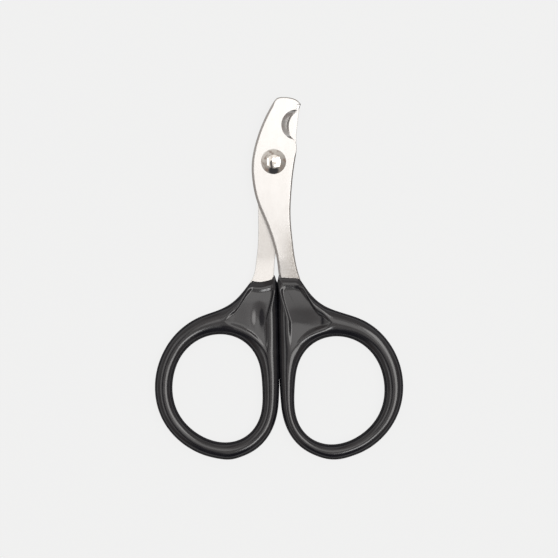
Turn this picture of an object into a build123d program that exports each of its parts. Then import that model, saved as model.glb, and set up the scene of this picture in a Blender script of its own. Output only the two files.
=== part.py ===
from build123d import *
import os
from math import cos, exp, hypot, radians, sin

# Pet nail scissors, closed and lying flat.  Millimetres.  +Z is up out of the table, +Y runs from
# the pivot towards the blade tips, and +X is the side that the blades hook towards.
# The origin is on the pivot axis, on the plane that the scissors rest on.

# Steel halves
PLATE = 1.5                 # thickness of each stamping
SLIDE_GAP = 0.04            # play between the two flat faces at the pivot
MID_Z = 2.1                 # height of the plane where the blades meet
JOG_TOP_Y = -23.5           # each shank starts to bend towards the middle plane here
JOG_END_Y = -35.0           # and lies in the middle plane from here down
JOG_EASE = 0.5              # share of the bend's length given to each end of its S curve

# Rivet
SHANK_R = 1.6
RUNNING_CLEARANCE = 0.04    # radial, between the rivet and the front half
DOME_R = 3.1
DOME_RISE = 1.35
DOME_EDGE = 0.2             # straight wall under the dome
WASHER_R = 2.9
WASHER_T = 0.3
TAIL_R = 2.4
TAIL_CHAMFER = 0.12

# Dipped grips
GRIP_T = 4.2                # thickness of the coated loops, which rest on the table
GRIP_ROUND = 1.5            # rounding of the coat's edges
COAT = 1.05                 # coat on each side of the steel ring
GRIP_GAP = 0.08             # between the two grips where they meet
DIP_SIDE_Y = -31.0          # only the edges of the dip line lie wholly above this
MEET_TOP = (0.88, -29.9)    # ends of the straight line where the grips meet
MEET_END = (1.46, -55.5)
SHOULDER_DIR = (0.5, 0.85)  # direction of a loop's outline as it reaches the dip line

# A finger hole's radius about its own centre: a constant, then the cosine and sine share of each
# harmonic.  The angle is 0 towards the other loop and grows towards the blades.
HOLE_MEAN = 12.35
HOLE_HARMONICS = ((0.455, -0.09), (-1.075, -0.26), (-0.415, -0.055), (-0.125, 0.065))
HOLE_STEPS = 20
RIM_PHASE = 130.0           # the loop's rim is widest at this angle
LOOP_STEP = 10.0            # degrees between the points of a loop's outline
LOOP_LAST = -210.0          # angle where a loop's outline leaves the round and runs to the shank

# side is +1 where the other loop lies towards +X; drips are (angle, rise, spread) of the swellings
# where the dip drained off; flare runs from the round up to the dip line
LEFT = dict(
    side=1,
    centre=(-14.0, -56.1),
    rim=4.25,
    swing=0.15,
    drips=((-80.0, 0.22, 8.0),),
    flare=(
        (-25.6, -44.3), (-21.6, -40.35), (-18.15, -38.4), (-12.8, -36.4), (-9.65, -34.4), (-7.75, -32.4),
    ),
    corner=(-5.5, -29.3),
)
RIGHT = dict(
    side=-1,
    centre=(16.4, -56.6),
    rim=4.1,
    swing=0.85,
    drips=((-85.0, 0.3, 11.0), (-108.0, 0.25, 28.0)),
    flare=(
        (27.45, -43.3), (22.45, -39.4), (16.9, -37.4), (12.1, -35.4), (9.7, -33.4), (8.1, -31.4),
    ),
    corner=(6.7, -29.3),
)

# Nail notch: a hollow grind, wider on the outer face than at the cutting edge
EDGE_R = 4.45
FACE_R = 3.74
FRONT_EDGE_CENTRE = (8.2, 8.75)
FRONT_FACE_CENTRE = (5.66, 9.1)
REAR_EDGE_CENTRE = (-3.05, 8.9)
REAR_FACE_CENTRE = (-0.85, 9.1)
FACET_TOP = (6.7, 14.16)    # ends of the short cutting edge above the front notch
FACET_END = (6.1, 12.97)
FACET_W = 0.7
FACET_DEPTH = 0.5
FACET_RUN = 2.8             # how far the grind runs past the facet's middle, each way

FAR = 200.0                 # beyond the object in every direction
TALL = 20.0                 # higher than the object stands
NEAR = 0.01                 # closer than this counts as level when edges are picked
CUT_PAST = 0.2              # how far a notch cutter runs past each face, as a share of the plate


def hole_radius(angle):
    """Radius of a finger hole: the mean plus four harmonics of the angle in degrees."""
    a = radians(angle)
    harmonics = enumerate(HOLE_HARMONICS, start=1)
    return HOLE_MEAN + sum(c * cos(k * a) + s * sin(k * a) for k, (c, s) in harmonics)


def rim_width(loop, angle):
    """Width of the coated rim: its mean, one swing round the loop, and the drips at the bottom."""
    drips = sum(rise * exp(-(((angle - at) / spread) ** 2)) for at, rise, spread in loop["drips"])
    return loop["rim"] + loop["swing"] * cos(radians(angle - RIM_PHASE)) + drips


def loop_point(loop, angle, radius):
    """The point at this angle and radius about the loop's centre."""
    cx, cy = loop["centre"]
    return cx + loop["side"] * radius * cos(radians(angle)), cy + radius * sin(radians(angle))


def hole_face(loop, grow=0.0):
    """The finger hole, grown by a constant amount all round."""
    angles = [360 * i / HOLE_STEPS for i in range(HOLE_STEPS)]
    points = [loop_point(loop, a, hole_radius(a) + grow) for a in angles]
    return make_face(Spline(*points, periodic=True))


def round_points(loop, inset):
    """Points of the loop's outer edge, from beside the meeting line round to the flare."""
    count = round(-LOOP_LAST / LOOP_STEP)
    angles = [LOOP_LAST * i / count for i in range(1, count + 1)]
    return [loop_point(loop, a, hole_radius(a) + rim_width(loop, a) - inset) for a in angles]


def drawn_in(loop, points, inset):
    """Points of a loop's outline moved towards the loop's centre."""
    cx, cy = loop["centre"]
    moved = []
    for x, y in points:
        far = hypot(x - cx, y - cy)
        moved.append((x + inset * (cx - x) / far, y + inset * (cy - y) / far))
    return moved


def handle_outline(loop, inset):
    """Planform of a handle between its meeting line, its loop, its flare and the dip line.

    inset is 0 for the coat; for the steel inside it, it is how far every side is drawn in.
    """
    shift = -loop["side"] * (inset + GRIP_GAP / 2)
    top = (MEET_TOP[0] + shift, MEET_TOP[1] - inset)
    start = (MEET_END[0] + shift, MEET_END[1])
    flare = drawn_in(loop, loop["flare"] + (loop["corner"],), inset)
    down = (MEET_END[0] - MEET_TOP[0], MEET_END[1] - MEET_TOP[1] + inset)
    shoulder = (loop["side"] * SHOULDER_DIR[0], SHOULDER_DIR[1])
    edge = Spline(start, *round_points(loop, inset), *flare, tangents=[down, shoulder])
    return make_face([Line(top, start), edge, Line(edge @ 1, top)])


def grip(loop, steel):
    """The dipped coat: a rounded slab round the finger hole, hollow where the steel runs inside."""
    plan = handle_outline(loop, 0.0) - hole_face(loop)
    slab = extrude(plan, GRIP_T)
    flat_edges = slab.edges().filter_by_position(Axis.Z, -NEAR, NEAR)
    flat_edges += slab.edges().filter_by_position(Axis.Z, GRIP_T - NEAR, GRIP_T + NEAR)
    sides = [e for e in flat_edges if e.bounding_box().min.Y < DIP_SIDE_Y]
    return fillet(sides, GRIP_ROUND) - steel


def stamping_core(loop):
    """Planform of the steel inside a grip: the web below the shank and the ring round the hole."""
    return handle_outline(loop, COAT) - hole_face(loop, COAT)


def front_plan():
    """Planform of the front blade and shank before the notch is ground."""
    back = Spline(
        FACET_TOP, (6.1, 14.93), (4.6, 15.7), (2.43, 15.97), (0.89, 15.7), (0.02, 14.76),
        (-0.92, 13.2), (-3.05, 8.75), (-4.54, 4.3), (-5.41, -0.9), (-5.23, -4.65), (-4.19, -9.6),
        (-2.16, -14.55), (-0.35, -19.5), (0.84, -24.5), (1.3, -28.2), (1.9, -36.0),
    )
    belly = Spline(
        (5.03, 5.33), (5.45, 4.75), (5.68, 3.9), (5.51, 1.55), (4.94, -2.15), (4.44, -7.1), (4.19, -13.3),
        (4.69, -19.5), (5.38, -24.5), (6.3, -28.2), (10.4, -36.0),
    )
    top = [Line(belly @ 0, FACET_END), Line(FACET_END, FACET_TOP)]
    return make_face([back, Line(back @ 1, belly @ 1), belly] + top)


def rear_plan():
    """Planform of the rear blade and shank before the notch is ground."""
    back = Spline(
        (0.3, 13.2), (0.5, 14.5), (1.3, 15.3), (2.6, 15.6), (4.3, 15.4), (5.7, 14.8), (6.35, 14.0),
        (6.3, 12.5), (5.93, 9.5), (5.62, 6.5), (5.6, 4.2), (5.1, 0.5), (4.6, -2.2), (4.0, -6.0),
        (3.2, -11.0), (2.2, -16.0), (1.2, -20.0), (0.4, -23.4), (0.15, -26.0), (0.0, -30.0), (-0.2, -36.0),
    )
    belly = Spline(
        (-0.75, 5.3), (-2.0, 4.9), (-3.5, 3.3), (-4.3, 0.0), (-4.2, -4.0), (-3.9, -9.0), (-3.8, -13.3),
        (-3.8, -18.3), (-4.0, -22.0), (-4.3, -24.5), (-5.2, -28.8), (-9.0, -36.0),
    )
    return make_face([back, Line(back @ 1, belly @ 1), belly, Line(belly @ 0, back @ 0)])


def jogged_slab(direction):
    """A sheet as thick as the plate that leaves its blade's plane in an S curve below the pivot.

    direction is +1 for the half above the meeting plane and -1 for the half below it.
    """
    blade = MID_Z + direction * (PLATE + SLIDE_GAP) / 2
    ease = JOG_EASE * (JOG_TOP_Y - JOG_END_Y)

    def face_line(offset):
        top = Line((FAR, blade + offset), (JOG_TOP_Y, blade + offset))
        bend = Bezier(
            (JOG_TOP_Y, blade + offset),
            (JOG_TOP_Y - ease, blade + offset),
            (JOG_END_Y + ease, MID_Z + offset),
            (JOG_END_Y, MID_Z + offset),
        )
        return [top, bend, Line((JOG_END_Y, MID_Z + offset), (-FAR, MID_Z + offset))]

    upper = face_line(PLATE / 2)
    lower = face_line(-PLATE / 2)
    ends = [Line(upper[0] @ 0, lower[0] @ 0), Line(upper[2] @ 1, lower[2] @ 1)]
    profile = make_face(upper + lower + ends)
    return extrude(Plane.YZ * profile, FAR, both=True)


def notch_cutter(edge_centre, face_centre, direction):
    """The ground hollow: a ruled solid from the cutting edge's circle to the outer face's circle.

    It carries on past both faces of the plate along the same slope.
    """
    def ring(share):
        x = edge_centre[0] + share * (face_centre[0] - edge_centre[0])
        y = edge_centre[1] + share * (face_centre[1] - edge_centre[1])
        z = MID_Z + direction * (SLIDE_GAP / 2 + share * PLATE)
        return Plane((x, y, z)) * Circle(EDGE_R + share * (FACE_R - EDGE_R))

    return loft([ring(-CUT_PAST), ring(1 + CUT_PAST)], ruled=True)


def facet_cutter():
    """The wedge ground off the front blade above its notch."""
    face_z = MID_Z + SLIDE_GAP / 2 + PLATE
    along = Vector(FACET_END[0] - FACET_TOP[0], FACET_END[1] - FACET_TOP[1]).normalized()
    across = Vector(-along.Y, along.X)
    profile = Polyline(
        (-FACET_W, 0),
        (0, -FACET_DEPTH),
        (FACET_W, -FACET_DEPTH),
        (FACET_W, FACET_W),
        (-FACET_W, FACET_W),
        close=True,
    )
    middle = Vector(*FACET_TOP, face_z) + along * (FACET_W / 2)
    place = Plane(origin=middle, x_dir=across, z_dir=along)
    return extrude(place * make_face(profile), FACET_RUN, both=True)


def bore(radius):
    """A cylinder on the pivot axis that passes right through."""
    return Cylinder(radius, FAR)


def stamping(plan, core, direction):
    """One steel half: its planform cut out of the jogged sheet."""
    return extrude(plan + core, TALL) & jogged_slab(direction)


def front_half():
    """The upper stamping, which turns on the rivet."""
    half = stamping(front_plan(), stamping_core(RIGHT), 1)
    half -= bore(SHANK_R + RUNNING_CLEARANCE)
    half -= notch_cutter(FRONT_EDGE_CENTRE, FRONT_FACE_CENTRE, 1)
    return half - facet_cutter()


def rear_half():
    """The lower stamping, which the rivet is clinched into."""
    half = stamping(rear_plan(), stamping_core(LEFT), -1)
    half -= bore(SHANK_R)
    return half - notch_cutter(REAR_EDGE_CENTRE, REAR_FACE_CENTRE, -1)


def washer():
    """The plain washer between the rear half and the rivet's clinched tail."""
    under = MID_Z - SLIDE_GAP / 2 - PLATE
    ring = Circle(WASHER_R) - Circle(SHANK_R)
    return extrude(Plane((0, 0, under - WASHER_T)) * ring, WASHER_T)


def rivet():
    """Dome, shank and clinched tail, turned about the pivot axis."""
    face_z = MID_Z + SLIDE_GAP / 2 + PLATE
    dome_z = face_z + SLIDE_GAP
    tail_z = MID_Z - SLIDE_GAP / 2 - PLATE - WASHER_T
    wall_z = dome_z + DOME_EDGE
    top = (0, dome_z + DOME_RISE)
    sphere_r = (DOME_R**2 + (DOME_RISE - DOME_EDGE) ** 2) / (2 * (DOME_RISE - DOME_EDGE))
    profile = [
        Polyline(
            (0, 0),
            (TAIL_R - TAIL_CHAMFER, 0),
            (TAIL_R, TAIL_CHAMFER),
            (TAIL_R, tail_z),
            (SHANK_R, tail_z),
            (SHANK_R, dome_z),
            (DOME_R, dome_z),
            (DOME_R, wall_z),
        ),
        RadiusArc((DOME_R, wall_z), top, -sphere_r),
        Line(top, (0, 0)),
    ]
    return revolve(Plane.XZ * make_face(profile), Axis.Z)


def main():
    os.makedirs("parts", exist_ok=True)
    front = front_half()
    rear = rear_half()
    nodes = {
        "front_blade": front,
        "rear_blade": rear,
        "right_grip": grip(RIGHT, front),
        "left_grip": grip(LEFT, rear),
        "pivot_rivet": rivet(),
        "rivet_washer": washer(),
    }
    for name, shape in nodes.items():
        solid = shape.solids()[0] if len(shape.solids()) == 1 else Compound(shape.solids())
        export_step(solid, f"parts/{name}.step")
        box = shape.bounding_box()
        print(name, len(shape.solids()), round(shape.volume, 1), box.min, box.max)


main()
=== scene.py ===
# %% [markdown]
# # Pet nail scissors
# Two stamped steel halves cross on a domed rivet.  Each has a short hooked blade with a half-round
# notch for the claw, and a finger loop that was dipped in black plastic.  The solid model gives the
# places, sizes and joint.  This file builds the surfaces that show, around that frame.

# %% Load the frame
import math
import bmesh
import bpy
import numpy as np
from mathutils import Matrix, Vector


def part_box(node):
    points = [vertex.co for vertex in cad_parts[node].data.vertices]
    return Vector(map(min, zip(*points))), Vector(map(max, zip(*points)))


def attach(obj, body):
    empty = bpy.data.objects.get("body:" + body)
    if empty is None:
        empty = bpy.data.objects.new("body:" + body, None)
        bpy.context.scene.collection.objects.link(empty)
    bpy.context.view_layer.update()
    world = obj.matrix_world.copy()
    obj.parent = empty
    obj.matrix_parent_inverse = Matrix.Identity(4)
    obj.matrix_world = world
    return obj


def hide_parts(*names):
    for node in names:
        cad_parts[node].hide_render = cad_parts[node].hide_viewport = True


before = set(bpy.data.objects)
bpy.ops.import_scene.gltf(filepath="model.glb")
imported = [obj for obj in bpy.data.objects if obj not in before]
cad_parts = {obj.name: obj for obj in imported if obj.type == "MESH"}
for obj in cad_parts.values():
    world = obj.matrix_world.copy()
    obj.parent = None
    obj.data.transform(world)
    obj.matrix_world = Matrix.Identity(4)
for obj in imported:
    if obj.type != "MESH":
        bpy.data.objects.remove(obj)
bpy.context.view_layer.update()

# %% [markdown]
# The heights come from the frame: the plates, the rivet and the coated loops are stacked on the
# pivot axis, and their boxes say where each one starts and ends.  Lengths are in millimetres here,
# because that is how such a tool is drawn, and become metres when a mesh is made.

# %% Heights along the pivot axis
MM = 0.001
SLIDE_GAP = 0.04            # play between the two flat faces


def heights(node):
    """The lowest and highest point of a node, in millimetres."""
    low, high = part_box(node)
    return low.z / MM, high.z / MM


FACE_Z = heights("front_blade")[1]
WASHER_LOW, WASHER_HIGH = heights("rivet_washer")
DOME_TOP = heights("pivot_rivet")[1]
MID_Z = (FACE_Z + WASHER_HIGH) / 2
PLATE = (FACE_Z - WASHER_HIGH - SLIDE_GAP) / 2
GRIP_HALF = heights("right_grip")[1] / 2
print(f"plate {PLATE:.2f} mm, blades meet at {MID_Z:.2f} mm, dome up to {DOME_TOP:.2f} mm")

# %% [markdown]
# Every piece is a grid of points: rows run one way over the surface and columns the other.  The
# quads between neighbouring points need only their row and column numbers, so a whole mesh is made
# from arrays, with no loop over its points.

# %% From a grid of points to a mesh
def grid_faces(rows, columns, close_rows=False, close_columns=False):
    """Quads between neighbours of a grid of points that are numbered row by row."""
    r = np.arange(rows if close_rows else rows - 1)[:, None]
    c = np.arange(columns if close_columns else columns - 1)[None, :]
    next_r = (r + 1) % rows
    next_c = (c + 1) % columns
    corners = (r * columns + c, r * columns + next_c, next_r * columns + next_c, next_r * columns + c)
    shape = np.broadcast_shapes(r.shape, c.shape)
    return np.stack([np.broadcast_to(k, shape) for k in corners], -1).reshape(-1, 4)


def new_mesh(name, points, faces):
    """A mesh object at the origin, its points given in millimetres."""
    mesh = bpy.data.meshes.new(name)
    mesh.from_pydata((np.asarray(points).reshape(-1, 3) * MM).tolist(), [], faces.tolist())
    piece = bpy.data.objects.new(name, mesh)
    bpy.context.scene.collection.objects.link(piece)
    return piece


def tidy_surface(piece, crease_degrees, merge_mm=0.001):
    """Joins points that coincide, turns the faces outwards and keeps creases sharp above an angle."""
    bm = bmesh.new()
    bm.from_mesh(piece.data)
    bmesh.ops.remove_doubles(bm, verts=bm.verts, dist=merge_mm * MM)
    bmesh.ops.dissolve_degenerate(bm, edges=bm.edges, dist=merge_mm * MM)
    bmesh.ops.recalc_face_normals(bm, faces=bm.faces)
    bm.to_mesh(piece.data)
    bm.free()
    piece.data.polygons.foreach_set("use_smooth", np.ones(len(piece.data.polygons), bool))
    piece.data.set_sharp_from_angle(angle=math.radians(crease_degrees))


def finish_piece(piece, body, node, slot, *materials):
    """Gives a piece its materials and the body that it moves with, and hides the solid that it stands for.
    """
    for material in materials:
        piece.data.materials.append(material)
    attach(piece, body)
    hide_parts(node)
    low, high = np.array(piece.bound_box).min(0) / MM, np.array(piece.bound_box).max(0) / MM
    print(f"{piece.name}: {len(piece.data.polygons)} faces, {np.round(low, 1)} to {np.round(high, 1)} mm")


# %% [markdown]
# A stamping's outline is drawn by a few points, and the die rounds smoothly through them.  A cubic
# through the points does the same.  Between two points it is a cubic in the length along the
# chords, and where two cubics meet, their slopes and curvatures agree.

# %% A smooth curve through a few points
def smooth_curve(knots, count):
    """count points of the natural cubic through the knots, evenly spaced along its chords."""
    p = np.asarray(knots, float)
    h = np.hypot(*np.diff(p, axis=0).T)
    n = len(p)
    i = np.arange(1, n - 1)
    system = np.eye(n)
    system[i, i - 1] = h[:-1]
    system[i, i] = 2 * (h[:-1] + h[1:])
    system[i, i + 1] = h[1:]
    slope = np.diff(p, axis=0) / h[:, None]
    jump = np.zeros((n, 2))
    jump[1:-1] = 6 * np.diff(slope, axis=0)
    bend = np.linalg.solve(system, jump)
    along = np.concatenate([[0], np.cumsum(h)])
    x = np.linspace(0, along[-1], count)
    k = np.clip(np.searchsorted(along, x, side="right") - 1, 0, n - 2)
    a = (x - along[k])[:, None]
    w = h[k][:, None]
    cubic = (bend[k + 1] - bend[k]) * a**3 / (6 * w) + bend[k] * a**2 / 2
    linear = (slope[k] - w * (2 * bend[k] + bend[k + 1]) / 6) * a
    return p[k] + linear + cubic


def straight(start, end, count):
    """count points from start towards end, without the end."""
    share = np.arange(count)[:, None] / count
    return np.asarray(start, float) + share * (np.asarray(end, float) - np.asarray(start, float))


def arc(centre, radius, start_degrees, end_degrees, count):
    """count points along a circle from one angle towards another, without the last."""
    a = np.radians(start_degrees + (end_degrees - start_degrees) * np.arange(count) / count)
    return np.stack([centre[0] + radius * np.cos(a), centre[1] + radius * np.sin(a)], -1)


def ease(x):
    """0 below 0, 1 above 1, and a smooth S between them."""
    x = np.clip(x, 0, 1)
    return x * x * (3 - 2 * x)


# %% [markdown]
# The two loops were bent round a mandrel that isn't a circle: it is nearly flat where the loops
# meet.  A radius that is a constant plus four waves of the angle describes it.  The rim's width is
# one more slow wave, with a small swelling where the last of the plastic drained off and set.

# %% The finger loops
HOLE_MEAN = 12.35
HOLE_WAVES = ((0.455, -0.09), (-1.075, -0.26), (-0.415, -0.055), (-0.125, 0.065))
RIM_PHASE = 130.0           # the rim is widest at this angle
MEET_TOP = (0.88, -29.9)    # the two grips touch along the line between these points
MEET_END = (1.46, -55.5)
MEET_KNOTS = 9              # points that keep that line straight
GRIP_GAP = -0.016           # they press into each other by a hair
LOOP_STEP = 10.0            # degrees between the points of the round
LOOP_LAST = -210.0          # the round ends here, and the flare runs on to the dip line

# side is +1 where the other loop lies towards +X, and jog is +1 on the upper half.  Drips are
# (angle, rise, spread) of the swellings.  The web's sunk panel has its plain depth at panel_x, and
# its dent is (x, y, width, length, depth) of a shallow hollow.  The flare runs from the round up to
# the dip line, where the plastic ends on the steel.
LEFT = dict(
    side=1, jog=-1,
    centre=(-14.0, -56.1), rim=4.25, swing=0.15,
    drips=((-80.0, 0.22, 8.0),),
    panel_x=-5.5,
    dent=(-3.9, -38.7, 1.3, 3.2, 0.28),
    flare=((-25.6, -44.3), (-21.6, -40.35), (-18.15, -38.4), (-12.8, -36.4), (-9.65, -34.4), (-7.75, -32.4)),
    dip=((-5.5, -29.45), (-4.4, -29.7), (-3.1, -29.76), (-1.7, -29.5), (-0.5, -29.15), (-0.02, -28.75),
         (0.12, -28.05), (0.32, -28.35), (0.52, -29.0)),
)
RIGHT = dict(
    side=-1, jog=1,
    centre=(16.4, -56.6), rim=4.1, swing=0.85,
    drips=((-85.0, 0.3, 11.0), (-108.0, 0.25, 28.0)),
    panel_x=7.0,
    dent=(6.7, -40.2, 3.4, 2.4, 0.28),
    flare=((27.45, -43.3), (22.45, -39.4), (16.9, -37.4), (12.1, -35.4), (9.7, -33.4), (8.1, -31.4)),
    dip=((6.6, -29.2), (6.1, -28.98), (4.0, -28.82), (2.2, -28.72), (1.6, -28.55), (1.38, -28.05),
         (1.22, -28.4), (1.1, -29.0)),
)


def hole_radius(angle):
    """Radius of a finger hole at angles in degrees: a mean plus four waves."""
    a = np.radians(angle)
    waves = [c * np.cos(k * a) + s * np.sin(k * a) for k, (c, s) in enumerate(HOLE_WAVES, start=1)]
    return HOLE_MEAN + sum(waves)


def rim_width(loop, angle):
    """Width of the rim: its mean, one slow wave, and bell-shaped drips of (angle, rise, spread)."""
    drips = [rise * np.exp(-(((angle - at) / spread) ** 2)) for at, rise, spread in loop["drips"]]
    return loop["rim"] + loop["swing"] * np.cos(np.radians(angle - RIM_PHASE)) + sum(drips)


def loop_point(loop, angle, radius):
    """Points at these angles and radii about the loop's centre, 0 degrees towards the other loop."""
    a = np.radians(angle)
    cx, cy = loop["centre"]
    return np.stack([cx + loop["side"] * radius * np.cos(a), cy + radius * np.sin(a)], -1)


def handle_knots(loop, inset):
    """Points of a handle's outer edge, drawn in by inset, from the blades' end round to its flare."""
    shift = -loop["side"] * (inset + GRIP_GAP / 2)
    line = straight(MEET_TOP, MEET_END, MEET_KNOTS) + (shift, 0)
    count = round(-LOOP_LAST / LOOP_STEP)
    angles = LOOP_LAST * np.arange(1, count + 1) / count
    rounds = loop_point(loop, angles, hole_radius(angles) + rim_width(loop, angles) - inset)
    flare = np.array(loop["flare"])
    inwards = np.array(loop["centre"]) - flare
    flare = flare + inset * inwards / np.linalg.norm(inwards, axis=1, keepdims=True)
    return np.concatenate([line, rounds, flare])


for word, loop in (("left", LEFT), ("right", RIGHT)):
    turn = np.arange(0, 360, 1.0)
    hole = loop_point(loop, turn, hole_radius(turn))
    print(f"{word} finger hole {np.ptp(hole[:, 0]):.1f} by {np.ptp(hole[:, 1]):.1f} mm")

# %% [markdown]
# Below the pivot the shanks part, and each bends from its own plane to the middle one, so that the
# loops lie side by side.  Plate and coat follow the same S curve.

# %% The bend in the shanks
JOG_TOP_Y = -23.5
JOG_END_Y = -35.0


def jog(y, direction):
    """How far a half stands off the middle plane: all of it at the blades, and none at the loops."""
    off = direction * (PLATE + SLIDE_GAP) / 2
    return off * (1 - ease((JOG_TOP_Y - np.asarray(y)) / (JOG_TOP_Y - JOG_END_Y)))


# %% [markdown]
# The grip is liquid plastic that set round the steel.  Over the wire-like loop it closes into a
# round section, and over the flat web it leaves a rounded rim with a slightly sunk panel inside.
# One sheet of points does both: rows go round the loop, columns go from the finger hole out to the
# edge over the top and back underneath.  Round the loop the section is an ellipse.  Over the web
# the height at a point depends only on its distance from the nearest edge, as it does for a liquid
# that is held by its own skin.

# %% Distances inside a grip
BATCH = 4000                # points compared with a line at a time, to spare memory


def distance_to(points, line):
    """Distance from each point to a line through many points, by its nearest segment."""
    a, b = line[:-1], line[1:]
    ab = b - a
    nearest = np.full(len(points), np.inf)
    for start in range(0, len(points), BATCH):
        p = points[start:start + BATCH, None, :]
        t = np.clip(((p - a) * ab).sum(-1) / (ab * ab).sum(-1), 0, 1)
        gap = p - a - t[..., None] * ab
        nearest[start:start + BATCH] = np.sqrt((gap * gap).sum(-1)).min(1)
    return nearest


def evenly(line, count):
    """count points spaced evenly along a line through many points, without its end."""
    along = np.concatenate([[0], np.cumsum(np.hypot(*np.diff(line, axis=0).T))])
    x = along[-1] * np.arange(count) / count
    return np.stack([np.interp(x, along, line[:, 0]), np.interp(x, along, line[:, 1])], -1)


# %% The coat as one surface
AROUND = 600                # points round the outer edge
EDGE_SHARE = 0.93           # share of them on the edge, the rest being on the dip line
EDGE_POINTS = 900           # fine points of the edge and of the dip line, to measure distances from
DIP_POINTS = 120
ACROSS = 60                 # points from the hole to the edge, on each face

RIM_R = 2.1                 # the round of the coat beside the web
WEB_R = 1.55                # tighter on the web's outer side
BROAD_R = 3.3               # the flare away from the web is one broad round
RIM_GROWS_OVER = 6.0        # the round grows from the lip's to its own over this length
FLARE_Y, FLARE_FADE = -46.0, 6.0    # the web's rounds start here and are complete this much higher
WEB_Y, WEB_FADE = -49.0, 7.0        # the section turns from the ring's to the web's likewise
WEB_REACH = 10.5            # how far the flat web reaches from where the grips meet
REACH_FADE = 5.0            # and over what length it gives way to the ring beyond that
ON_LINE = 1.0               # an edge closer than this to the meeting line is part of it

LIP_R = 0.55
LIP_HALF = 0.98             # half thickness of the coat just behind the lip where the steel enters it
LIP_RUN = 2.1               # length over which it grows to its full thickness
LIP_SKIN = 0.02             # the coat over the steel right at the dip line

PANEL_SINK = 0.45
PANEL_EDGE = 0.95           # width of the slope down to a panel, and twice that below the dip line
PANEL_START = 1.15          # the slope starts this many rim radii in from the edge
PANEL_BELOW_DIP = 0.9       # and this far below the dip line
PANEL_SLANT = (0.035, 0.022)    # the panels sink further to the right and towards the blades
PANEL_Y = -38.0
SINK_RANGE = (0.1, 0.9)


def quarter_round(n):
    """Height of a quarter circle of radius 1 at a distance n from its foot, and 1 beyond it."""
    return np.sqrt(1 - (1 - np.clip(n, 0, 1)) ** 2)


def grip_surface(loop):
    """Points of a grip, as rows round the loop and columns round its section.

    With n the distance to the nearest edge as a share of the rim's radius, the half thickness of
    the web is the full one times the square root of 1 - (1 - n) squared, less a sunk panel where n
    passes 1.  On the ring, n is the share of the way from either edge to the middle, which makes
    an ellipse.  At the lip it starts from the steel's own half thickness instead of from nothing.
    """
    edge = smooth_curve(handle_knots(loop, 0.0).tolist() + [loop["dip"][0]], EDGE_POINTS)
    dip = np.concatenate([smooth_curve(loop["dip"], DIP_POINTS), edge[:1]])
    split = round(AROUND * EDGE_SHARE)
    outer = np.concatenate([evenly(edge, split), evenly(dip, AROUND - split)])
    from_centre = outer - np.array(loop["centre"])
    angle = np.degrees(np.arctan2(from_centre[:, 1], loop["side"] * from_centre[:, 0]))
    inner = loop_point(loop, angle, hole_radius(angle))
    share = (1 - np.cos(np.pi * np.arange(ACROSS + 1) / ACROSS)) / 2
    plan = inner[:, None] + share[:, None] * (outer - inner)[:, None]

    flat = plan.reshape(-1, 2)
    turn = np.linspace(0, 360, 361)
    to_hole = distance_to(flat, loop_point(loop, turn, hole_radius(turn))).reshape(plan.shape[:2])
    to_edge = distance_to(flat, edge).reshape(plan.shape[:2])
    to_dip = distance_to(flat, dip).reshape(plan.shape[:2])

    half_width = np.linalg.norm(outer - inner, axis=1) / 2
    reach = np.abs(outer[:, 0] - MEET_TOP[0])
    on_flare = ease((outer[:, 1] - FLARE_Y) / FLARE_FADE) * (reach > ON_LINE)
    broad = ease((reach - WEB_REACH) / REACH_FADE)
    grown = ease(distance_to(outer, dip) / RIM_GROWS_OVER)
    rim = RIM_R + (WEB_R + (BROAD_R - WEB_R) * broad - RIM_R) * on_flare
    rim = np.minimum(LIP_R + (rim - LIP_R) * grown, half_width)[:, None]
    hole_rim = np.minimum(RIM_R + (BROAD_R - RIM_R) * on_flare * broad, half_width)[:, None]
    n = np.minimum(to_edge / rim, to_hole / hole_rim)
    lean = jog(plan[..., 1], loop["jog"])
    full = LIP_HALF + (GRIP_HALF - np.abs(lean) - LIP_HALF) * ease(to_dip / LIP_RUN)

    past_rim = np.minimum(to_edge - PANEL_START * rim, to_hole - PANEL_START * hole_rim)
    x, y = plan[..., 0], plan[..., 1]
    within_reach = 1 - ease((np.abs(x - MEET_TOP[0]) - WEB_REACH) / REACH_FADE)
    panel = ease(past_rim / PANEL_EDGE) * ease((to_dip - PANEL_BELOW_DIP) / (2 * PANEL_EDGE))
    panel = panel * within_reach
    sink = PANEL_SINK + PANEL_SLANT[0] * (x - loop["panel_x"]) + PANEL_SLANT[1] * (y - PANEL_Y)
    dent_x, dent_y, wide, tall, deep = loop["dent"]
    sink = sink + deep * np.exp(-(((x - dent_x) / wide) ** 2) - ((y - dent_y) / tall) ** 2)
    web = ease((y - WEB_Y) / WEB_FADE) * within_reach
    over_web = full * quarter_round(n) - panel * np.clip(sink, *SINK_RANGE)
    over_ring = full * quarter_round(1 - np.abs(2 * share - 1))
    half = web * over_web + (1 - web) * over_ring
    steel_half = PLATE / 2 + LIP_SKIN
    half = np.minimum(half, steel_half + (full - steel_half) * quarter_round(to_dip / LIP_R))

    top = np.dstack([plan, GRIP_HALF + lean + half])
    under = np.dstack([plan, GRIP_HALF + lean - half])[:, :0:-1]
    return np.concatenate([top, under], axis=1)


grips = {}
for name, loop in (("left_grip_coat", LEFT), ("right_grip_coat", RIGHT)):
    surface = grip_surface(loop)
    grips[name] = new_mesh(name, surface, grid_faces(*surface.shape[:2], True, True))
    tidy_surface(grips[name], 60)

# %% [markdown]
# A steel half is stamped from sheet, tumbled until its edges are round, and then ground: a hollow
# for the claw on the outer face, and a narrow steeper land that makes the cutting edge.  Its
# surface is a profile carried along the outline.  At each point of the outline the profile goes
# from the flat outer face, round the edge, down the wall and on to the flat inner face.  Where the
# blade is ground, the outer face's outline stands further in than the inner one's.

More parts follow.
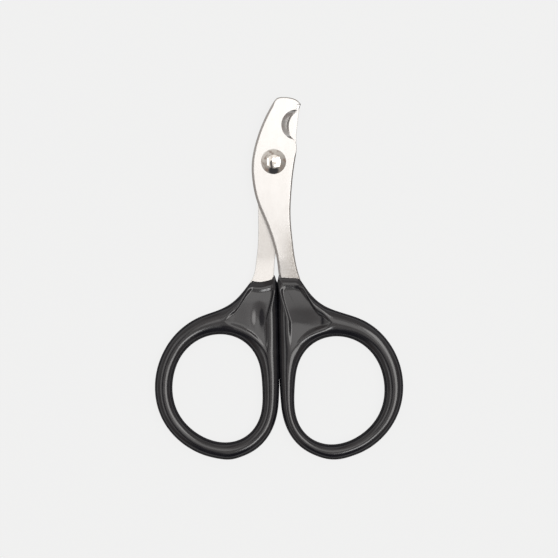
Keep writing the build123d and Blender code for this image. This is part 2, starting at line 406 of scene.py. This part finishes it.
# %% The stampings' outlines
EDGE_R = 4.45               # the notch's arc at the cutting edge, and on the outer face
FACE_R = 3.74
FACET_TOP = (6.7, 14.16)    # top of the short cutting edge above the front notch
COAT = 1.05                 # the steel lies this far inside the grip's edge
SIDE_POINTS = 1500          # points along a half's rounded sides
TIP_POINTS = 60             # of which these round the front half's tip,
BACK_POINTS = 700           # and these reach down its back
LIP_POINTS = 26             # the sides end on this many points of thinned lip beside the notch
NOTCH_POINTS = 90
FACET_POINTS = 12
LAND = (0.02, 0.75, 0.25)   # edge width of the notch, and its land's height and share of the band
FACET_LAND = (0.03, 1.27, 0.22)


def outline(parts):
    """Joins stretches of (face outline, cutting outline, edge width, land height, land share)."""
    columns = list(zip(*parts))
    face, cut = (np.concatenate(c) for c in columns[:2])
    values = [np.repeat(c, [len(p[0]) for p in parts]).astype(float) for c in columns[2:]]
    return face, cut, *values


def plain(points, width):
    """A stretch that is only worn, to a bevel of this width: the same outline on both faces."""
    return points, points, width, 0.5, 0.0


def steel_path(loop, shank, belly):
    """From the shank's inner side, round inside the grip, and back up the shank's outer side."""
    return np.concatenate([shank, handle_knots(loop, COAT)[1:], belly])


def front_outline():
    """The front half, from the top of its short cutting edge over the tip and round its handle."""
    tip_and_back = [
        FACET_TOP, (6.1, 14.93), (4.6, 15.7), (2.43, 15.97), (0.89, 15.7), (0.02, 14.76), (-0.92, 13.2),
        (-3.05, 8.75), (-4.54, 4.3), (-5.41, -0.9), (-5.23, -4.65), (-4.19, -9.6), (-2.16, -14.55),
        (-0.35, -19.5), (0.84, -24.5), (1.3, -28.2), (1.85, -31.5),
    ]
    belly = [(6.9, -29.8), (6.3, -28.2), (5.38, -24.5), (4.69, -19.5), (4.19, -13.3), (4.44, -7.1),
             (4.94, -2.15), (5.51, 1.55), (5.68, 3.9), (5.45, 4.75), (5.03, 5.33)]
    sides = smooth_curve(steel_path(RIGHT, tip_and_back, belly), SIDE_POINTS)[:-1]
    return outline([
        plain(sides[:TIP_POINTS], 0.3),
        plain(sides[TIP_POINTS:BACK_POINTS], 0.6),
        plain(sides[BACK_POINTS:-LIP_POINTS], 0.42),
        plain(sides[-LIP_POINTS:], 0.14),
        (straight((5.03, 5.33), (5.03, 5.41), 4), straight((5.03, 5.33), (5.03, 5.63), 4), 0.03, 0.5, 0.0),
        (arc((5.66, 9.1), FACE_R, 260.3, 94.0, NOTCH_POINTS),
         arc((8.2, 8.75), EDGE_R, 224.5, 118.9, NOTCH_POINTS), *LAND),
        (straight((5.4, 12.83), (5.93, 14.16), FACET_POINTS),
         straight((6.05, 12.65), FACET_TOP, FACET_POINTS), *FACET_LAND),
    ])


def rear_outline():
    """The rear half, from the lip above its notch over the tip and round its handle."""
    tip_and_back = [
        (0.3, 13.2), (0.5, 14.5), (1.3, 15.3), (2.6, 15.6), (4.3, 15.4), (5.7, 14.8), (6.35, 14.0),
        (6.3, 12.5), (5.93, 9.5), (5.62, 6.5), (5.6, 4.2), (5.1, 0.5), (4.6, -2.2), (4.0, -6.0),
        (3.2, -11.0), (2.2, -16.0), (1.2, -20.0), (0.4, -23.4), (0.15, -26.0), (0.02, -28.5), (-0.12, -31.5),
    ]
    belly = [(-5.75, -29.8), (-5.2, -28.8), (-4.3, -24.5), (-4.0, -22.0), (-3.8, -18.3), (-3.8, -13.3),
             (-3.9, -9.0), (-4.2, -4.0), (-4.3, 0.0), (-3.5, 3.3), (-2.0, 4.9), (-0.75, 5.3)]
    sides = smooth_curve(steel_path(LEFT, tip_and_back, belly), SIDE_POINTS)[:-1]
    clockwise = outline([
        plain(sides[:LIP_POINTS], 0.12),
        plain(sides[LIP_POINTS:-LIP_POINTS], 0.28),
        plain(sides[-LIP_POINTS:], 0.12),
        (arc((-0.85, 9.1), FACE_R, -88.0, 74.0, NOTCH_POINTS),
         arc((-3.05, 8.9), EDGE_R, -54.0, 42.0, NOTCH_POINTS), *LAND),
    ])
    return [c[::-1] for c in clockwise]


# %% A stamping from its outlines
ARC_STEPS = 4               # points round each arc of a worn edge
WALL_STEPS = 5              # points down the wall
BEVEL = math.radians(33)    # slant of the worn bevel along an edge
FIRST_ARC = 0.5             # radii of the bevel's two arcs, as shares of its width
LAST_ARC = 0.25
HOLLOW = 0.02               # depth of the wheel's hollow for each millimetre of ground band
HOLLOW_UP_TO = 2.0          # bands wider than this are no hollower
SOFTEN_REACH = 8            # points over which an edge's width changes
BURR = 0.06                 # the small round of the inner face's edges
FLAT = 0.06                 # a narrow flat ring inside each rounding, which keeps the faces flat


def inwards(curve):
    """Unit vectors square to a closed outline that runs anticlockwise, pointing into the metal."""
    along = np.roll(curve, -1, 0) - np.roll(curve, 1, 0)
    along = along / np.linalg.norm(along, axis=1, keepdims=True)
    return np.stack([-along[:, 1], along[:, 0]], -1)


def soften(values, reach):
    """A running mean along a closed outline, so that the edge's rounding changes gradually."""
    kernel = np.hanning(2 * reach + 3)[1:-1]
    padded = np.concatenate([values[-reach:], values, values[:reach]])
    return np.convolve(padded, kernel / kernel.sum(), mode="valid")


def worn_bevel():
    """A worn edge of width 1, as (distance in from the wall, drop below the face).

    It turns from flat to the bevel's slant on the first arc, and from there to upright on the last.
    """
    first = np.linspace(0, BEVEL, ARC_STEPS + 1)
    last = np.linspace(BEVEL, math.pi / 2, ARC_STEPS + 1)
    last_inset = LAST_ARC * (1 - np.sin(last))
    slope_run = 1 - FIRST_ARC * math.sin(BEVEL) - last_inset[0]
    slope_end_drop = FIRST_ARC * (1 - math.cos(BEVEL)) + slope_run * math.tan(BEVEL)
    inset = np.concatenate([1 - FIRST_ARC * np.sin(first), last_inset])
    last_drop = slope_end_drop + LAST_ARC * (math.cos(BEVEL) - np.cos(last))
    drop = np.concatenate([FIRST_ARC * (1 - np.cos(first)), last_drop])
    return inset, drop


def edge_profile(face, cut, width, land_z, land_share):
    """Rows of points from the outer face, over the worn edge and down the wall to the inner face.

    The ground band between the two outlines is slightly hollow, and heights are above the inner
    face.
    """
    width = soften(width, SOFTEN_REACH)[:, None]
    land_z, land_share = land_z[:, None], land_share[:, None]
    into = inwards(face)
    into_cut = inwards(cut)
    rows = [np.hstack([face + into * (width + FLAT), np.full_like(width, PLATE)])]
    for inset, drop in zip(*worn_bevel()):
        rows.append(np.hstack([face + into * width * inset, PLATE - width * drop]))
    wall_top = PLATE - width * worn_bevel()[1][-1]
    land = cut + land_share * (face - cut)
    band = np.linalg.norm(face - cut, axis=1, keepdims=True)
    for share in np.arange(1, WALL_STEPS + 1) / WALL_STEPS:
        hollow = HOLLOW * np.minimum(band, HOLLOW_UP_TO) * 4 * share * (1 - share)
        z = wall_top + share * (land_z - wall_top) - hollow * (land_share > 0)
        rows.append(np.hstack([face + share * (land - face), z]))
    rows.append(np.hstack([cut, np.full_like(width, BURR)]))
    rows.append(np.hstack([cut + into_cut * BURR, np.zeros_like(width)]))
    rows.append(np.hstack([cut + into_cut * (BURR + FLAT), np.zeros_like(width)]))
    return np.stack(rows)


def hole_outline(points, width=0.15):
    """A hole in a stamping, run clockwise so that the metal lies on its left."""
    return outline([plain(points, width)])


def fill_flat(bm, rings):
    """Closes the flat face between the outer ring and the holes' rings, which lie in one plane."""
    edges = []
    for ring in rings:
        verts = [bm.verts[i] for i in ring]
        for a, b in zip(verts, verts[1:] + verts[:1]):
            edges.append(bm.edges.get((a, b)) or bm.edges.new((a, b)))
    bmesh.ops.triangle_fill(bm, edges=edges, use_beauty=True)


COARSE_FOOT = (1.3, -27.0)  # the coarse finish covers the shank here, and slants off it upwards
COARSE_SLANT = 0.17
COARSE_RUN = 2.6            # width over which it comes in
COARSE_TOP_Y = -8.0         # there is none above this, and all of it this much lower
COARSE_FADE = 8.0
GROUND_FROM = 0.05          # a wall that slants by more than this was ground
BEND_CUTS = 15              # cross cuts that let the flat faces bend


def carry(piece, name, values):
    """Stores one number at each point of a mesh, for its material to read."""
    piece.data.attributes.new(name, "FLOAT", "POINT").data.foreach_set("value", values.astype(np.float32))


def stamping(name, outlines, direction, coarse, smooth):
    """A flat stamping with its holes, then bent along its shank.

    direction is +1 for the half whose outer face looks up.  coarse and smooth are how much of the
    coarse finish the shank has on its coarse side and elsewhere.
    """
    points, faces, upper, lower, ground, painted_edge_shade, start = [], [], [], [], [], [], 0
    for one in outlines:
        rows = edge_profile(*one)
        count, around = rows.shape[:2]
        band = np.linalg.norm(one[0] - one[1], axis=1) > GROUND_FROM
        level = np.arange(count)[:, None]
        edge_rows = 2 * ARC_STEPS + 2
        ground.append(((level > edge_rows) & (level < count - 2) & band).ravel())
        # Painted shade on the rounded edges and walls: 0 on the flat face, rising to 1 over the first arc,
        # down to the burr; the material darkens the steel by it.
        painted_edge_shade.append((np.clip((level - 1) / ARC_STEPS, 0, 1) * (level < count - 2) * ~band).ravel())
        faces.append(grid_faces(count, around, close_columns=True) + start)
        points.append(rows.reshape(-1, 3))
        upper.append(range(start, start + around))
        lower.append(range(start + (count - 1) * around, start + count * around))
        start += count * around
    piece = new_mesh(name, np.concatenate(points), np.concatenate(faces))
    carry(piece, "ground", np.concatenate(ground))
    carry(piece, "edge", np.concatenate(painted_edge_shade))
    bm = bmesh.new()
    bm.from_mesh(piece.data)
    bm.verts.ensure_lookup_table()
    fill_flat(bm, upper)
    fill_flat(bm, lower)
    for y in np.linspace(JOG_TOP_Y, JOG_END_Y, BEND_CUTS):
        everything = bm.verts[:] + bm.edges[:] + bm.faces[:]
        bmesh.ops.bisect_plane(bm, geom=everything, plane_co=(0, y * MM, 0), plane_no=(0, 1, 0))
    bm.to_mesh(piece.data)
    bm.free()
    co = np.zeros(len(piece.data.vertices) * 3)
    piece.data.vertices.foreach_get("co", co)
    co = co.reshape(-1, 3) / MM
    lean = jog(co[:, 1], direction)
    co[:, 2] = MID_Z + lean + direction * (co[:, 2] - PLATE / 2)
    piece.data.vertices.foreach_set("co", (co * MM).ravel())
    border = COARSE_FOOT[0] + COARSE_SLANT * np.maximum(co[:, 1] - COARSE_FOOT[1], 0)
    low = ease((COARSE_TOP_Y - co[:, 1]) / COARSE_FADE)
    carry(piece, "coarse", np.maximum(coarse * ease((co[:, 0] - border) / COARSE_RUN), smooth) * low)
    tidy_surface(piece, 12, merge_mm=0.0005)
    return piece


def finger_core(loop):
    """The steel ring's own hole, a coat's thickness outside the finger hole."""
    angles = -loop["side"] * np.arange(0, 360, 3.0)
    return loop_point(loop, angles, hole_radius(angles) + COAT)


BORE_R = 1.62
bore = arc((0, 0), BORE_R, 0, -360, 64)
front_lines = [front_outline(), hole_outline(finger_core(RIGHT)), hole_outline(bore)]
rear_lines = [rear_outline(), hole_outline(finger_core(LEFT)), hole_outline(bore)]
front_steel = stamping("front_blade_steel", front_lines, 1, 1.0, 0.0)
rear_steel = stamping("rear_blade_steel", rear_lines, -1, 0.0, 0.4)

# %% [markdown]
# The rivet is turned on a lathe, so it is a profile spun about the pivot axis: a low dome, a neck
# through both halves, and a tail that was hammered flat over the washer.  Such a surface needs two
# numbers for a point, its place along the profile and its angle.  The middle of the dome and of
# the tail are single points, where all angles meet.

# %% Lathe pieces
DOME_R = 3.1
DOME_EDGE = 0.2             # upright edge under the dome
DOME_BREAK = 0.05           # its lower corner is broken by this much
NECK_R = 1.58
TAIL_R = 2.4
TAIL_BREAK = (0.14, 0.05)   # the tail's rounded corner, as two small steps
DIMPLE_R = 0.95
DIMPLE_DEPTH = 0.16
WASHER_R = 2.9
WASHER_BREAK = 0.06         # broken outer and inner corners of the washer
WASHER_BORE_BREAK = 0.04
CLEARANCE = 0.04


def lathe(name, profile, columns=144):
    """A profile of (radius, height) points spun about the pivot axis, closed on itself or on the axis."""
    r, z = np.asarray(profile, float).T
    a = 2 * np.pi * np.arange(columns) / columns
    up = np.repeat(z[:, None], columns, 1)
    points = np.stack([r[:, None] * np.cos(a), r[:, None] * np.sin(a), up], -1)
    closed = r[0] > 0
    piece = new_mesh(name, points, grid_faces(len(r), columns, close_rows=closed, close_columns=True))
    tidy_surface(piece, 30)
    return piece


def dome_profile(steps=40):
    """A spherical cap over a short upright edge: the radius is R sin(a) and the height R cos(a)."""
    base = FACE_Z + CLEARANCE
    rise = DOME_TOP - base - DOME_EDGE
    ball = (DOME_R**2 + rise**2) / (2 * rise)
    a = np.linspace(0, math.asin(DOME_R / ball), steps)
    cap = np.stack([ball * np.sin(a), DOME_TOP - ball * (1 - np.cos(a))], -1)
    return [*cap, (DOME_R, base + DOME_BREAK), (DOME_R - DOME_BREAK, base)]


def tail_profile(steps=10):
    """The clinched tail: a chamfered disc whose flat foot has a shallow dimple from the punch."""
    a = np.linspace(1, 0, steps)
    dimple = np.stack([DIMPLE_R * a, DIMPLE_DEPTH * (1 - a**2) ** 2], -1)
    far, near = TAIL_BREAK
    return [(TAIL_R, WASHER_LOW), (TAIL_R, far), (TAIL_R - near, near), (TAIL_R - far, 0.0), *dimple]


neck = [(NECK_R, FACE_Z + CLEARANCE), (NECK_R, WASHER_LOW)]
rivet = lathe("domed_rivet", [*dome_profile(), *neck, *tail_profile()])
bore_r = NECK_R + CLEARANCE
washer = lathe("pressed_washer", [
    (bore_r, WASHER_LOW + WASHER_BORE_BREAK),
    (bore_r + WASHER_BORE_BREAK, WASHER_LOW),
    (WASHER_R - WASHER_BREAK, WASHER_LOW),
    (WASHER_R, WASHER_LOW + WASHER_BREAK),
    (WASHER_R, WASHER_HIGH - WASHER_BREAK),
    (WASHER_R - WASHER_BREAK, WASHER_HIGH),
    (bore_r + WASHER_BORE_BREAK, WASHER_HIGH),
    (bore_r, WASHER_HIGH - WASHER_BORE_BREAK),
])

# %% [markdown]
# Each finish is a small network of nodes.  Noise in the object's own coordinates stays put when the
# piece turns on its joint, and stretching the coordinates turns round noise into the long lines
# that a belt leaves.

# %% A helper for shader nodes
def node(tree, kind, inputs=(), **settings):
    """Adds a node; inputs maps sockets to plain values or to the outputs that feed them."""
    made = tree.nodes.new(kind)
    for name, value in settings.items():
        setattr(made, name, value)
    for socket, value in dict(inputs).items():
        if isinstance(value, bpy.types.NodeSocket):
            tree.links.new(value, made.inputs[socket])
        else:
            made.inputs[socket].default_value = value
    return made


def start_material(name):
    """A new material: its node tree, its surface shader and the object coordinates."""
    material = bpy.data.materials.new(name)
    material.use_nodes = True
    tree = material.node_tree
    place = node(tree, "ShaderNodeTexCoord").outputs["Object"]
    return material, tree, tree.nodes["Principled BSDF"], place


def noise(tree, place, per_metre, detail=3.0, roughness=0.5):
    """Noise whose blobs are 1 / per_metre long; three numbers stretch it along the axes."""
    scaled = node(tree, "ShaderNodeMapping", {"Vector": place, "Scale": per_metre})
    made = node(tree, "ShaderNodeTexNoise", {
        "Vector": scaled.outputs[0], "Scale": 1.0, "Detail": detail, "Roughness": roughness})
    return made.outputs["Fac"]


def remap(tree, value, low, high, to_low, to_high):
    """A straight line from one range to another, held at its ends."""
    made = node(tree, "ShaderNodeMapRange", {
        "Value": value, "From Min": low, "From Max": high, "To Min": to_low, "To Max": to_high})
    return made.outputs[0]


def mix(tree, share, a, b):
    """A blend of two colours."""
    return node(tree, "ShaderNodeMix", {0: share, 6: a, 7: b}, data_type="RGBA").outputs[2]


def maths(tree, what, a, b):
    """One sum on two numbers."""
    return node(tree, "ShaderNodeMath", {0: a, 1: b}, operation=what).outputs[0]


def attribute(tree, name):
    """A number that the mesh carries at each of its points."""
    return node(tree, "ShaderNodeAttribute", attribute_name=name).outputs["Fac"]


def bump(tree, height, depth_mm, after=None):
    """Relief of that depth, laid over an earlier relief."""
    inputs = {"Height": height, "Distance": depth_mm * MM, "Strength": 1.0}
    if after is not None:
        inputs["Normal"] = after
    return node(tree, "ShaderNodeBump", inputs).outputs[0]


# %% [markdown]
# The blades are stainless sheet with a fine satin finish: fine lines along their length, edges
# rounded in the tumbler, and cross lines where a wheel ground the notch.  Three things tell the
# eye that it's steel: the grain's stretched highlights, a slightly uneven roughness, and greyer,
# The shank of the front half is rougher and pitted, and its colour is darker and greyer from a little below
# the pivot down.

# %% Blade steel
def blade_steel():
    """Satin stainless with lengthwise grain, ground bands and a coarser shank."""
    material, tree, shader, place = start_material("satin_blade_steel")
    across = noise(tree, place, (5200, 160, 900), 4, 0.6)
    mottle = noise(tree, place, (420, 260, 420), 3, 0.55)
    pits = noise(tree, place, (3300, 3300, 3300), 2, 0.6)
    wheel = noise(tree, place, (500, 9000, 2500), 3, 0.5)
    ground = attribute(tree, "ground")
    painted_edge_shade = attribute(tree, "edge")
    coarse = attribute(tree, "coarse")

    clean = remap(tree, mottle, 0.3, 0.7, 0, 1)
    tone = mix(tree, clean, (0.585, 0.575, 0.565, 1), (0.615, 0.607, 0.60, 1))
    dull = maths(tree, "MULTIPLY", coarse, remap(tree, pits, 0.35, 0.65, 0.45, 1.0))
    tone = mix(tree, dull, tone, (0.36, 0.34, 0.315, 1))
    # Painted shade: rounded edges and walls are coloured a quarter of the way towards a dark grey, deepening
    # their dark reflection.
    tone = mix(tree, maths(tree, "MULTIPLY", painted_edge_shade, 0.25), tone, (0.40, 0.385, 0.37, 1))
    ground_tone = maths(tree, "MULTIPLY", ground, remap(tree, wheel, 0.3, 0.7, 0.6, 1))
    tone = mix(tree, ground_tone, tone, (0.62, 0.605, 0.595, 1))
    rough = remap(tree, across, 0.3, 0.7, 0.235, 0.275)
    rough = maths(tree, "ADD", rough, maths(tree, "MULTIPLY", coarse, 0.14))
    tree.links.new(tone, shader.inputs["Base Color"])
    tree.links.new(rough, shader.inputs["Roughness"])
    shader.inputs["Metallic"].default_value = 1.0
    relief = bump(tree, across, 0.0005)
    relief = bump(tree, maths(tree, "MULTIPLY", pits, coarse), 0.012, relief)
    relief = bump(tree, maths(tree, "MULTIPLY", wheel, ground), 0.010, relief)
    tree.links.new(relief, shader.inputs["Normal"])
    return material


# %% [markdown]
# The rivet's dome is polished like a mirror, with hairline scratches from wiping, and the washer
# keeps the fine rings of its press tool.  Distance from the pivot axis, which is the object's own
# Z axis, draws those rings.

# %% Rivet and washer steel
def around_axis(tree, place, per_metre):
    """Waves in the distance from the pivot axis, as a tool leaves on a turned face."""
    flat = node(tree, "ShaderNodeVectorMath", {0: place, 1: (1, 1, 0)}, operation="MULTIPLY").outputs[0]
    radius = node(tree, "ShaderNodeVectorMath", {0: flat}, operation="LENGTH").outputs["Value"]
    return maths(tree, "SINE", maths(tree, "MULTIPLY", radius, per_metre), 0.0)


def turned_steel(name, light, dark, roughness, ring_mm, ring_depth):
    """Turned or pressed steel: fine rings, a little tarnish and scratches."""
    material, tree, shader, place = start_material(name)
    tarnish = noise(tree, place, (700, 700, 700), 4, 0.6)
    hairlines = noise(tree, place, (9000, 900, 2000), 2, 0.6)
    rings = around_axis(tree, place, 2 * math.pi / (ring_mm * MM))
    tone = mix(tree, remap(tree, tarnish, 0.35, 0.7, 0, 1), light, dark)
    tree.links.new(tone, shader.inputs["Base Color"])
    rough = remap(tree, hairlines, 0.45, 0.75, roughness, roughness * 2.2)
    tree.links.new(rough, shader.inputs["Roughness"])
    shader.inputs["Metallic"].default_value = 1.0
    relief = bump(tree, rings, ring_depth)
    tree.links.new(bump(tree, hairlines, 0.0006, relief), shader.inputs["Normal"])
    return material


# %% [markdown]
# The loops were dipped in a liquid plastic that sets glossy and nearly black.  Its skin isn't quite
# level, so highlights wander a little, and handling leaves faint smears and a few dust specks.
# Waves of a few millimetres bend the highlight, and a finer noise dulls it in patches.

# %% Dipped plastic
def dipped_plastic():
    """Glossy black coat with a wavy skin, smears and dust."""
    material, tree, shader, place = start_material("glossy_dipped_plastic")
    waves = noise(tree, place, (170, 170, 170), 0, 0.5)
    smears = noise(tree, place, (260, 520, 260), 0.5, 0.5)
    dust = noise(tree, place, (1900, 1900, 1900), 2, 0.7)
    specks = remap(tree, dust, 0.74, 0.80, 0, 1)
    wiped = remap(tree, smears, 0.35, 0.7, 0, 1)
    tone = mix(tree, wiped, (0.0060, 0.0060, 0.0085, 1), (0.0095, 0.0093, 0.0120, 1))
    tone = mix(tree, maths(tree, "MULTIPLY", specks, 0.5), tone, (0.09, 0.085, 0.08, 1))
    tree.links.new(tone, shader.inputs["Base Color"])
    rough = remap(tree, smears, 0.3, 0.72, 0.13, 0.17)
    rough = maths(tree, "ADD", rough, maths(tree, "MULTIPLY", specks, 0.2))
    tree.links.new(rough, shader.inputs["Roughness"])
    shader.inputs["IOR"].default_value = 1.6
    relief = bump(tree, waves, 0.06)
    tree.links.new(bump(tree, specks, 0.001, relief), shader.inputs["Normal"])
    return material


# %% Finishes and bodies
steel = blade_steel()
polished = turned_steel(
    "polished_rivet_steel", (0.86, 0.83, 0.79, 1), (0.78, 0.75, 0.71, 1), 0.05, 0.5, 0.0)
pressed = turned_steel(
    "pressed_washer_steel", (0.62, 0.60, 0.57, 1), (0.50, 0.48, 0.45, 1), 0.28, 0.16, 0.003)
plastic = dipped_plastic()
finish_piece(front_steel, "front_half", "front_blade", "blade_steel", steel)
finish_piece(rear_steel, "rear_half", "rear_blade", "blade_steel", steel)
finish_piece(grips["right_grip_coat"], "front_half", "right_grip", "dipped_plastic", plastic)
finish_piece(grips["left_grip_coat"], "rear_half", "left_grip", "dipped_plastic", plastic)
finish_piece(rivet, "rear_half", "pivot_rivet", "rivet_steel", polished)
finish_piece(washer, "rear_half", "rivet_washer", "washer_steel", pressed)

# %% [markdown]
# The tool lies on a pale table.  The table's own faint glow keeps it even from edge to edge, as a
# lit translucent table is, and still takes a trace of contact shadow.

# %% Pale table
PAPER = (0.875, 0.876, 0.874, 1)
TABLE_HALF = 4.0            # metres
TABLE_GAP = 0.05            # the table lies this far below the tool


def pale_table():
    """A wide flat square just under the tool, mostly lit from within."""
    corners = TABLE_HALF / MM * np.array([(-1, -1, 0), (1, -1, 0), (1, 1, 0), (-1, 1, 0)])
    table = new_mesh("pale_table", corners - (0, 0, TABLE_GAP), np.array([[0, 1, 2, 3]]))
    material, tree, shader, place = start_material("pale_table_paper")
    fibre = noise(tree, place, (900, 900, 900), 3, 0.6)
    tone = mix(tree, fibre, (0.030, 0.030, 0.030, 1), (0.034, 0.034, 0.034, 1))
    tree.links.new(tone, shader.inputs["Base Color"])
    shader.inputs["Roughness"].default_value = 1.0
    shader.inputs["Specular IOR Level"].default_value = 0.0
    shader.inputs["Emission Color"].default_value = PAPER
    shader.inputs["Emission Strength"].default_value = 0.963
    table.data.materials.append(material)
    table.visible_glossy = False


pale_table()

# %% [markdown]
# Polished steel and glossy plastic show the room, so the room matters more than the lamps' power.
# The walls are pale near the table and dim above it.  A long soft lamp to the right draws the long
# highlight round each loop, and a weaker one above and behind the tool evens out the flat steel.  A
# strip on the left gives the second, fainter line, and a small lamp makes the glints.
#
# All lamps are area lamps.  A lamp of radiance L and area A takes the energy 4 L A, so the lamps
# are set by how bright they look in the steel.

# %% Room and lamps
def room():
    """World light by direction: pale near the horizon, dim walls above, lighter towards +Y."""
    world = bpy.data.worlds.new("studio_room")
    bpy.context.scene.world = world
    world.use_nodes = True
    tree = world.node_tree
    way = node(tree, "ShaderNodeTexCoord").outputs["Generated"]
    split = node(tree, "ShaderNodeSeparateXYZ", {0: way})
    patch = node(tree, "ShaderNodeTexNoise", {"Vector": way, "Scale": 2.3, "Detail": 3.0}).outputs["Fac"]
    lit_side = node(tree, "ShaderNodeVectorMath", {0: way, 1: (-0.45, 0.89, 0.0)},
                    operation="DOT_PRODUCT").outputs["Value"]
    wall = mix(tree, remap(tree, lit_side, -0.5, 0.8, 0, 1), (0.33, 0.315, 0.30, 1), (0.68, 0.65, 0.62, 1))
    wall = mix(tree, remap(tree, patch, 0.5, 0.65, 0, 1), wall, (0.30, 0.24, 0.21, 1))
    wall = mix(tree, remap(tree, split.outputs["Z"], 0.10, 0.19, 0, 1), PAPER, wall)
    wall = mix(tree, remap(tree, split.outputs["Z"], -0.10, -0.02, 0, 1), (0.14, 0.135, 0.13, 1), wall)
    towards = math.radians(35)
    front = node(tree, "ShaderNodeVectorMath", {0: way, 1: (0.0, -math.cos(towards), math.sin(towards))},
                 operation="DOT_PRODUCT").outputs["Value"]
    dim = remap(tree, front, 0.84, 0.93, 0, 1)
    tree.links.new(mix(tree, dim, wall, (0.05, 0.05, 0.055, 1)), tree.nodes["Background"].inputs["Color"])


def soft_lamp(name, towards, size, distance, radiance, colour=(1, 1, 1), shape="RECTANGLE"):
    """An area lamp at that distance, facing the pivot; towards is its slant in degrees to +X and +Y."""
    lamp = bpy.data.lights.new(name, "AREA")
    lamp.shape = shape
    lamp.size, lamp.size_y = size
    lamp.energy = radiance * 4 * size[0] * size[1] * (math.pi / 4 if shape == "ELLIPSE" else 1)
    lamp.color = colour
    holder = bpy.data.objects.new(name, lamp)
    way = Vector((math.tan(math.radians(towards[0])), math.tan(math.radians(towards[1])), 1)).normalized()
    holder.location = way * distance
    holder.rotation_mode = "QUATERNION"
    holder.rotation_quaternion = way.to_track_quat("Z", "Y")
    holder.visible_camera = False
    bpy.context.scene.collection.objects.link(holder)


room()
soft_lamp("ceiling_bounce", (2, 2), (2.2, 2.2), 1.25, 0.42, (1.0, 0.98, 0.955), "ELLIPSE")
soft_lamp("right_softbox", (29, 1), (1.1, 0.42), 1.1, 2.6, (1.0, 0.985, 0.965))
soft_lamp("rear_softbox", (4, 11), (0.5, 0.46), 1.1, 0.84, (1.0, 0.985, 0.965))
soft_lamp("left_strip", (-36, 0), (0.9, 0.16), 1.1, 0.8)
soft_lamp("small_glint_lamp", (12, -24), (0.20, 0.20), 1.1, 5.0)


ARM_LOW, ARM_HIGH = 800.0, 860.0


def boom_arm():
    """A dark arm over the table, left of the camera, which the dome mirrors as a dark streak."""
    plan = np.array([(-160, 130), (-260, 120), (-340, -100), (-300, -620), (-50, -620), (-120, -160)])
    points = np.concatenate([np.c_[plan, np.full(len(plan), z)] for z in (ARM_LOW, ARM_HIGH)])
    side = grid_faces(2, len(plan), close_columns=True)
    arm = new_mesh("boom_arm", points, side)
    bm = bmesh.new()
    bm.from_mesh(arm.data)
    bmesh.ops.holes_fill(bm, edges=bm.edges)
    bmesh.ops.recalc_face_normals(bm, faces=bm.faces)
    bm.to_mesh(arm.data)
    bm.free()
    material, _, shader, _ = start_material("matt_black_paint")
    shader.inputs["Base Color"].default_value = (0.16, 0.15, 0.15, 1)
    shader.inputs["Roughness"].default_value = 0.8
    arm.data.materials.append(material)


boom_arm()

# %% [markdown]
# The camera looks straight down with a long lens, as a shop picture of a small tool is taken.  The
# lens and the wanted width of view give its height: distance = lens / sensor * width.

# %% Camera
LENS = 120.0
SENSOR = 36.0
VIEW_WIDTH = 138.4
VIEW_Z = 2.5                # the height where the view is that wide
AIM = (1.34, -29.07)        # the middle of the picture, on the tool
camera_data = bpy.data.cameras.new("shop_camera")
camera_data.lens = LENS
camera_data.sensor_width = SENSOR
camera = bpy.data.objects.new("shop_camera", camera_data)
camera.location = Vector((*AIM, VIEW_Z + LENS / SENSOR * VIEW_WIDTH)) * MM
bpy.context.scene.collection.objects.link(camera)
bpy.context.scene.camera = camera
bpy.context.scene.view_settings.view_transform = "Standard"
print(f"camera {camera.location.z:.3f} m above the table")
